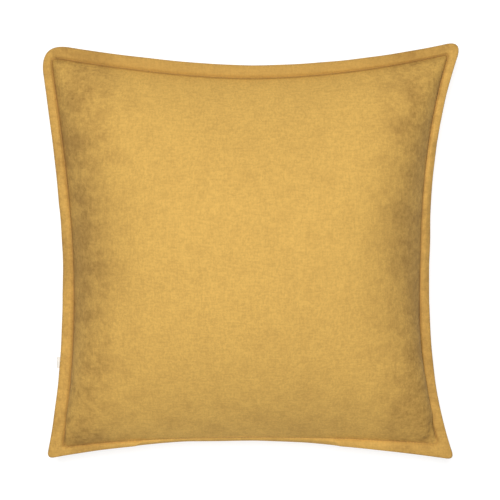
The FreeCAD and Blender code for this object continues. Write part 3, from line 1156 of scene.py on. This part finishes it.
def mix_colours(tree, factor, a, b, blend="MIX"):
    node = tree.nodes.new("ShaderNodeMix")
    node.data_type = "RGBA"
    node.blend_type = blend
    shown = [socket for socket in node.inputs if socket.enabled]
    for value, socket in zip((factor, a, b), shown):
        if isinstance(value, bpy.types.NodeSocket):
            tree.links.new(value, socket)
        else:
            socket.default_value = value
    return next(socket for socket in node.outputs if socket.enabled)


@lru_cache(maxsize=None)
def velvet_group():
    """Short-pile velvet: clouds where the nap is brushed or pressed flat, painted shade towards the left and
    right edges and the bottom, fine slubs and a pile height.
    """
    tree, given, made = group_with(
        "velvet_nap",
        (("Pile", "c", (0.6, 0.4, 0.1, 1)), ("Crushed and shaded", "c", (0.4, 0.25, 0.06, 1)),
         ("Clouds", "f", 1.0), ("Slubs", "f", 1.0)),
        (("Color", "c"), ("Roughness", "f"), ("Height", "f")))
    place = tree.nodes.new("ShaderNodeTexCoord").outputs["Object"]
    axes = tree.nodes.new("ShaderNodeSeparateXYZ")
    tree.links.new(place, axes.inputs[0])
    clouds = noise_of(tree, place, 14, 4, 0.6, (1, 1, 0.5))
    patches = noise_of(tree, place, 55, 5, 0.68, (1, 1, 0.6))
    specks = noise_of(tree, place, 190, 3, 0.6)
    # painted shade: the velvet darkens towards its left and right edges and its bottom, and its clouds of
    # pressed nap weigh more there
    flank = remap(tree, maths(tree, "ABSOLUTE", axes.outputs["X"]), 0.102, 0.172)
    low = remap(tree, axes.outputs["Y"], -0.10, -0.2)
    ruffled_and_painted_shade = maths(tree, "MAXIMUM", flank, times(tree, low, 0.45))
    amount = plus(tree, 0.24, times(tree, ruffled_and_painted_shade, 0.62))
    cloud_mask = remap(tree, clouds, 0.36, 0.66)
    patch_mask = remap(tree, patches, 0.40, 0.66)
    speck_mask = times(tree, remap(tree, specks, 0.42, 0.64), ruffled_and_painted_shade)
    masks = plus(tree, times(tree, cloud_mask, 0.40), times(tree, patch_mask, 0.45))
    masks = plus(tree, masks, times(tree, speck_mask, 0.35))
    # plain painted shade on the left and right flanks
    masks = plus(tree, masks, times(tree, flank, 0.24))
    crush = times(tree, masks, amount)
    crush = times(tree, crush, given.outputs["Clouds"], clamp=True)
    colour = mix_colours(tree, crush, given.outputs["Pile"], given.outputs["Crushed and shaded"])
    weft = noise_of(tree, place, 130, 2, 0.6, (1, 4, 3))
    warp = noise_of(tree, place, 130, 2, 0.6, (4, 1, 3))
    fibre = noise_of(tree, place, 520, 3, 0.65)
    slub = plus(tree, weft, warp)
    slub = plus(tree, slub, times(tree, fibre, 1.3))
    slub = remap(tree, slub, 1.20, 2.10, -1.0, 1.0)
    shade = times(tree, slub, times(tree, given.outputs["Slubs"], 0.115))
    shade = plus(tree, shade, 1.0)
    grey = tree.nodes.new("ShaderNodeCombineColor")
    for channel in ("Red", "Green", "Blue"):
        tree.links.new(shade, grey.inputs[channel])
    colour = mix_colours(tree, 1.0, colour, grey.outputs["Color"], "MULTIPLY")
    tree.links.new(colour, made.inputs["Color"])
    rough = plus(tree, 0.80, times(tree, crush, 0.15), clamp=True)
    tree.links.new(rough, made.inputs["Roughness"])
    height = plus(tree, times(tree, slub, 0.35), times(tree, fibre, 0.65))
    height = less(tree, height, times(tree, crush, 0.8))
    tree.links.new(height, made.inputs["Height"])
    return tree


@lru_cache(maxsize=None)
def seam_group():
    """Painted shade beside seams, along the border's outer fold and along the upper border, from a sheet's
    own map: 0 away from them to 1 on them.
    """
    tree, given, made = group_with(
        "seam_crush",
        (("Place", "v", (0, 0, 0)), ("Sides", "f", 1.0), ("Reach", "f", 0.01), ("Fold", "f", 0.0),
         ("Shadow", "f", 0.0), ("Low", "f", 0.0)),
        (("Mask", "f"),))
    axes = tree.nodes.new("ShaderNodeSeparateXYZ")
    tree.links.new(given.outputs["Place"], axes.inputs[0])

    def from_edge(value):
        return less(tree, 0.5, maths(tree, "ABSOLUTE", less(tree, value, 0.5)))

    across = from_edge(axes.outputs["Y"])
    along = plus(tree, from_edge(axes.outputs["X"]), less(tree, 1.0, given.outputs["Sides"]))
    near = maths(tree, "DIVIDE", maths(tree, "MINIMUM", across, along), given.outputs["Reach"])
    seam = remap(tree, near, 1.0, 0.0)
    # the painted shade is weaker along the lower seam, where the filling hangs over it
    low_side = remap(tree, axes.outputs["X"], 0.27, 0.24)
    low_panel = remap(tree, axes.outputs["Y"], 0.06, 0.03)
    low_side = times(tree, low_side, less(tree, 1.0, given.outputs["Sides"]))
    low_panel = times(tree, low_panel, given.outputs["Sides"])
    low = plus(tree, low_side, low_panel)
    low = times(tree, low, given.outputs["Low"])
    seam = times(tree, seam, less(tree, 1.0, low))
    # painted shade along the upper border, which deepens its colour
    upper = maths(tree, "ABSOLUTE", less(tree, axes.outputs["X"], 0.625))
    upper = times(tree, remap(tree, upper, 0.13, 0.105), given.outputs["Shadow"])
    seam = maths(tree, "MAXIMUM", seam, upper)
    # painted shade along the border's outer fold
    fold = remap(tree, across, 0.455, 0.495)
    fold = times(tree, fold, given.outputs["Fold"])
    tree.links.new(maths(tree, "MAXIMUM", seam, fold), made.inputs["Mask"])
    return tree


def new_material(name):
    material = bpy.data.materials.new(name)
    material.use_nodes = True
    tree = material.node_tree
    return material, tree, tree.nodes["Principled BSDF"]


def bump_into(tree, shader, height, strength, distance):
    bump = tree.nodes.new("ShaderNodeBump")
    bump.inputs["Strength"].default_value = strength
    bump.inputs["Distance"].default_value = distance
    tree.links.new(height, bump.inputs["Height"])
    tree.links.new(bump.outputs["Normal"], shader.inputs["Normal"])


# depth is how dark the painted seam shade gets; under seams, Shadow is the painted shade along the upper
# border, Fold that along the outer fold and Low how much weaker it is on the lower seam
VELVETS = {
    "panel_velvet": {"clouds": 1.0, "slubs": 1.0, "sheen": 0.08, "warm": 1.0, "depth": 0.60,
                     "seams": {"Sides": 1.0, "Reach": 0.0070, "Fold": 0.0, "Low": 0.9}},
    "border_velvet": {"clouds": 0.7, "slubs": 0.8, "sheen": 0.08, "warm": 1.03, "depth": 0.8,
                      "seams": {"Sides": 0.0, "Reach": 0.21, "Fold": 0.75, "Shadow": 0.34, "Low": 0.9}},
}


@lru_cache(maxsize=None)
def velvet_material(name):
    """Mustard velvet of the panels or of the border."""
    look = VELVETS[name]
    material, tree, shader = new_material(name)
    nap = tree.nodes.new("ShaderNodeGroup")
    nap.node_tree = velvet_group()
    pile, crushed_nap_and_painted_shade = colours().pile, colours().crushed_nap_and_painted_shade
    warm = look["warm"]
    nap.inputs["Pile"].default_value = (pile[0] * warm, pile[1], pile[2], 1)
    nap.inputs["Crushed and shaded"].default_value = (crushed_nap_and_painted_shade[0] * warm, crushed_nap_and_painted_shade[1], crushed_nap_and_painted_shade[2], 1)
    nap.inputs["Clouds"].default_value = look["clouds"]
    nap.inputs["Slubs"].default_value = look["slubs"]
    seams = tree.nodes.new("ShaderNodeGroup")
    seams.node_tree = seam_group()
    tree.links.new(tree.nodes.new("ShaderNodeTexCoord").outputs["UV"], seams.inputs["Place"])
    for name_of, value in look["seams"].items():
        seams.inputs[name_of].default_value = value
    # shade is the colour of the painted shade beside seams, along the outer fold and along the upper border
    shade = (crushed_nap_and_painted_shade[0] * 0.62, crushed_nap_and_painted_shade[1] * 0.52, crushed_nap_and_painted_shade[2] * 0.42, 1)
    wear_and_painted_shade = times(tree, seams.outputs["Mask"], look["depth"])
    tree.links.new(mix_colours(tree, wear_and_painted_shade, nap.outputs["Color"], shade), shader.inputs["Base Color"])
    tree.links.new(nap.outputs["Roughness"], shader.inputs["Roughness"])
    shader.inputs["Specular IOR Level"].default_value = 0.15
    shader.inputs["Sheen Weight"].default_value = look["sheen"]
    shader.inputs["Sheen Roughness"].default_value = 0.45
    shader.inputs["Sheen Tint"].default_value = (0.95, 0.80, 0.50, 1)
    bump_into(tree, shader, nap.outputs["Height"], 0.35, 0.0006)
    return material


@lru_cache(maxsize=None)
def thread_material(name="sewing_thread", base=None):
    """Polyester thread with a fine twist."""
    material, tree, shader = new_material(name)
    place = tree.nodes.new("ShaderNodeTexCoord").outputs["Object"]
    twist = noise_of(tree, place, 2500, 2, 0.5, (1, 1, 1))
    base = base or colours().thread
    dark = (base[0] * 0.75, base[1] * 0.75, base[2] * 0.75, 1)
    tree.links.new(mix_colours(tree, twist, (*base, 1), dark), shader.inputs["Base Color"])
    shader.inputs["Roughness"].default_value = 0.55
    bump_into(tree, shader, twist, 0.4, 0.0001)
    return material


@lru_cache(maxsize=None)
def weave_group():
    """Plain weave on a pair of coordinates: over-and-under threads, their colour and height."""
    tree, given, made = group_with(
        "weave",
        (("Place", "v", (0, 0, 0)), ("Warp count", "f", 1000.0), ("Weft count", "f", 1000.0),
         ("Thread", "c", (0.5, 0.5, 0.5, 1)), ("Gap", "c", (0.2, 0.2, 0.2, 1)), ("Slub", "f", 0.3)),
        (("Color", "c"), ("Roughness", "f"), ("Height", "f")))
    axes = tree.nodes.new("ShaderNodeSeparateXYZ")
    tree.links.new(given.outputs["Place"], axes.inputs[0])
    warp = maths(tree, "SINE", times(tree, axes.outputs["X"], given.outputs["Warp count"]))
    weft = maths(tree, "SINE", times(tree, axes.outputs["Y"], given.outputs["Weft count"]))
    cross = times(tree, warp, weft)
    over = maths(tree, "ABSOLUTE", cross)
    uneven = noise_of(tree, given.outputs["Place"], 90, 3, 0.6)
    level = plus(tree, times(tree, cross, 0.35), times(tree, over, 0.65))
    level = plus(tree, level, times(tree, less(tree, uneven, 0.5),
                                            given.outputs["Slub"]))
    mask = remap(tree, level, -0.25, 0.55)
    colour = mix_colours(tree, mask, given.outputs["Gap"], given.outputs["Thread"])
    tree.links.new(colour, made.inputs["Color"])
    rough = remap(tree, level, -0.2, 0.8, 0.9, 0.7)
    tree.links.new(rough, made.inputs["Roughness"])
    tree.links.new(level, made.inputs["Height"])
    return tree


WOVEN = {
    "tape_weave": {"where": "UV", "counts": (1500.0, 60.0), "slub": 0.2, "sheen": 0.1},
    "casing_cotton": {"where": "Object", "counts": (5200.0, 5200.0), "slub": 0.6, "sheen": 0.15},
    "blank_satin": {"where": "Object", "counts": (9000.0, 3000.0), "slub": 0.15, "sheen": 0.3},
}


@lru_cache(maxsize=None)
def woven_material(name, thread, gap, bump):
    """A woven cloth; tapes follow their own map and flat cloths the object's axes."""
    look = WOVEN[name]
    material, tree, shader = new_material(name)
    weave = tree.nodes.new("ShaderNodeGroup")
    weave.node_tree = weave_group()
    place = tree.nodes.new("ShaderNodeTexCoord").outputs[look["where"]]
    tree.links.new(place, weave.inputs["Place"])
    weave.inputs["Warp count"].default_value = look["counts"][0]
    weave.inputs["Weft count"].default_value = look["counts"][1]
    weave.inputs["Thread"].default_value = (*thread, 1)
    weave.inputs["Gap"].default_value = (*gap, 1)
    weave.inputs["Slub"].default_value = look["slub"]
    tree.links.new(weave.outputs["Color"], shader.inputs["Base Color"])
    tree.links.new(weave.outputs["Roughness"], shader.inputs["Roughness"])
    shader.inputs["Sheen Weight"].default_value = look["sheen"]
    bump_into(tree, shader, weave.outputs["Height"], bump, 0.0002)
    return material


def tape_material():
    base = colours().tape
    return woven_material("tape_weave", tuple(base), tuple(0.55 * c for c in base), 0.5)


def cotton_material():
    return woven_material("casing_cotton", (0.83, 0.80, 0.73), (0.62, 0.59, 0.52), 0.35)


def label_material():
    return woven_material("blank_satin", (0.86, 0.83, 0.76), (0.70, 0.67, 0.60), 0.25)


@lru_cache(maxsize=None)
def coil_material():
    """Nylon coil: smooth, under a thin clear coat, its colour and roughness mottled."""
    material, tree, shader = new_material("nylon_coil")
    place = tree.nodes.new("ShaderNodeTexCoord").outputs["Object"]
    mottle = noise_of(tree, place, 700, 3, 0.6)
    base = colours().tape
    colour = mix_colours(tree, mottle, (*[1.15 * c for c in base], 1), (*[0.8 * c for c in base], 1))
    tree.links.new(colour, shader.inputs["Base Color"])
    tree.links.new(remap(tree, mottle, 0.3, 0.7, 0.28, 0.42), shader.inputs["Roughness"])
    shader.inputs["Coat Weight"].default_value = 0.2
    bump_into(tree, shader, mottle, 0.15, 0.0001)
    return material


@lru_cache(maxsize=None)
def metal_material():
    """Aged brass: rubbed brighter in patches, duller and darker where it isn't rubbed."""
    material, tree, shader = new_material("aged_brass")
    place = tree.nodes.new("ShaderNodeTexCoord").outputs["Object"]
    wear_and_painted_shade = noise_of(tree, place, 420, 4, 0.6)
    scratch = noise_of(tree, place, 900, 2, 0.6, (1, 9, 1))
    base = colours().metal
    colour = mix_colours(tree, remap(tree, wear_and_painted_shade, 0.4, 0.65), (*base, 1), (*[0.5 * c for c in base], 1))
    tree.links.new(colour, shader.inputs["Base Color"])
    shader.inputs["Metallic"].default_value = 1.0
    rough = plus(tree, remap(tree, wear_and_painted_shade, 0.35, 0.7, 0.22, 0.45), times(tree, scratch, 0.1))
    tree.links.new(rough, shader.inputs["Roughness"])
    bump_into(tree, shader, scratch, 0.12, 0.0001)
    return material


def fibre_material():
    """Polyester fibre: white, matt, tangled strands."""
    material, tree, shader = new_material("polyester_fibre")
    place = tree.nodes.new("ShaderNodeTexCoord").outputs["Object"]
    strands = plus(tree, noise_of(tree, place, 200, 5, 0.7, (1, 7, 1)),
                    noise_of(tree, place, 200, 5, 0.7, (7, 1, 1)))
    shade = remap(tree, strands, 0.7, 1.3)
    colour = mix_colours(tree, shade, (0.72, 0.72, 0.71, 1), (0.92, 0.92, 0.91, 1))
    tree.links.new(colour, shader.inputs["Base Color"])
    tree.links.new(remap(tree, strands, 0.7, 1.3, 0.95, 0.8), shader.inputs["Roughness"])
    bump_into(tree, shader, strands, 0.9, 0.002)
    return material


# ---------------------------------------------------------------- stage

class PILLOW_OT_stage(bpy.types.Operator):
    """Pale floor, soft studio light and the camera"""

    bl_idname = "pillow.stage"
    bl_label = "Stage"

    def execute(self, context):
        scene = context.scene
        bm = bmesh.new()
        bmesh.ops.create_grid(bm, x_segments=1, y_segments=1, size=8)
        floor = finish_mesh("floor", bm)
        material, tree, shader = new_material("floor_paper")
        shader.inputs["Base Color"].default_value = (0.30, 0.30, 0.30, 1)
        shader.inputs["Roughness"].default_value = 0.9
        shader.inputs["Emission Color"].default_value = (1, 1, 1, 1)
        shader.inputs["Emission Strength"].default_value = 0.80
        see_through = tree.nodes.new("ShaderNodeBsdfTransparent")
        either = tree.nodes.new("ShaderNodeMixShader")
        tree.links.new(tree.nodes.new("ShaderNodeNewGeometry").outputs["Backfacing"], either.inputs["Fac"])
        tree.links.new(shader.outputs["BSDF"], either.inputs[1])
        tree.links.new(see_through.outputs["BSDF"], either.inputs[2])
        tree.links.new(either.outputs["Shader"], tree.nodes["Material Output"].inputs["Surface"])
        floor.data.materials.append(material)
        self.lights(scene)
        self.camera(scene)
        return {"FINISHED"}

    def lights(self, scene):
        world = bpy.data.worlds.new("studio")
        world.use_nodes = True
        background = world.node_tree.nodes["Background"]
        background.inputs["Color"].default_value = (1, 1, 1, 1)
        background.inputs["Strength"].default_value = 0.10
        scene.world = world
        add_light("key", (-0.12, 0.54, 2.27), (0, 0.0, 0.06), 0.7, 54)
        add_light("fill", (0.0, -1.4, 1.5), (0, 0, 0.06), 1.8, 7)

    def camera(self, scene):
        distance, tilt, width = 1.9, math.radians(6), 0.5275
        target = Vector((0, 0.0028, SEAM_Z))
        camera = bpy.data.objects.new("camera", bpy.data.cameras.new("camera"))
        scene.collection.objects.link(camera)
        camera.location = target + Vector((0, math.sin(tilt), math.cos(tilt))) * distance
        camera.rotation_euler = (-tilt, 0, 0)
        camera.data.sensor_width = 36
        camera.data.lens = 36 * distance / width
        scene.camera = camera
        scene.view_settings.view_transform = "Standard"


def add_light(name, place, aim, size, power):
    light = bpy.data.lights.new(name, "AREA")
    light.shape = "DISK"
    light.size = size
    light.energy = power
    lamp = bpy.data.objects.new(name, light)
    bpy.context.scene.collection.objects.link(lamp)
    lamp.location = place
    lamp.rotation_euler = (Vector(aim) - Vector(place)).to_track_quat("-Z", "Y").to_euler()


class PILLOW_PT_panel(bpy.types.Panel):
    """Lists the steps that build the pillow"""

    bl_label = "Velvet Throw Pillow"
    bl_idname = "PILLOW_PT_panel"
    bl_space_type = "VIEW_3D"
    bl_region_type = "UI"
    bl_category = "Pillow"

    def draw(self, context):
        for group in (context.scene.pillow_sizes, context.scene.pillow_colours):
            for name in group.__annotations__:
                self.layout.prop(group, name)
        for step in STEPS:
            self.layout.operator(step.bl_idname)


STEPS = (PILLOW_OT_cover, PILLOW_OT_zip_strip, PILLOW_OT_border, PILLOW_OT_threads, PILLOW_OT_zip,
         PILLOW_OT_slider, PILLOW_OT_label, PILLOW_OT_insert, PILLOW_OT_stage)
CLASSES = (PillowSizes, PillowColours, *STEPS, PILLOW_PT_panel)


def register():
    for cls in CLASSES:
        bpy.utils.register_class(cls)
    bpy.types.Scene.pillow_sizes = PointerProperty(type=PillowSizes)
    bpy.types.Scene.pillow_colours = PointerProperty(type=PillowColours)


def unregister():
    del bpy.types.Scene.pillow_colours
    del bpy.types.Scene.pillow_sizes
    for cls in reversed(CLASSES):
        bpy.utils.unregister_class(cls)


def main():
    register()
    for step in STEPS:
        group, name = step.bl_idname.split(".")
        getattr(getattr(bpy.ops, group), name)()


if __name__ == "__main__":
    main()
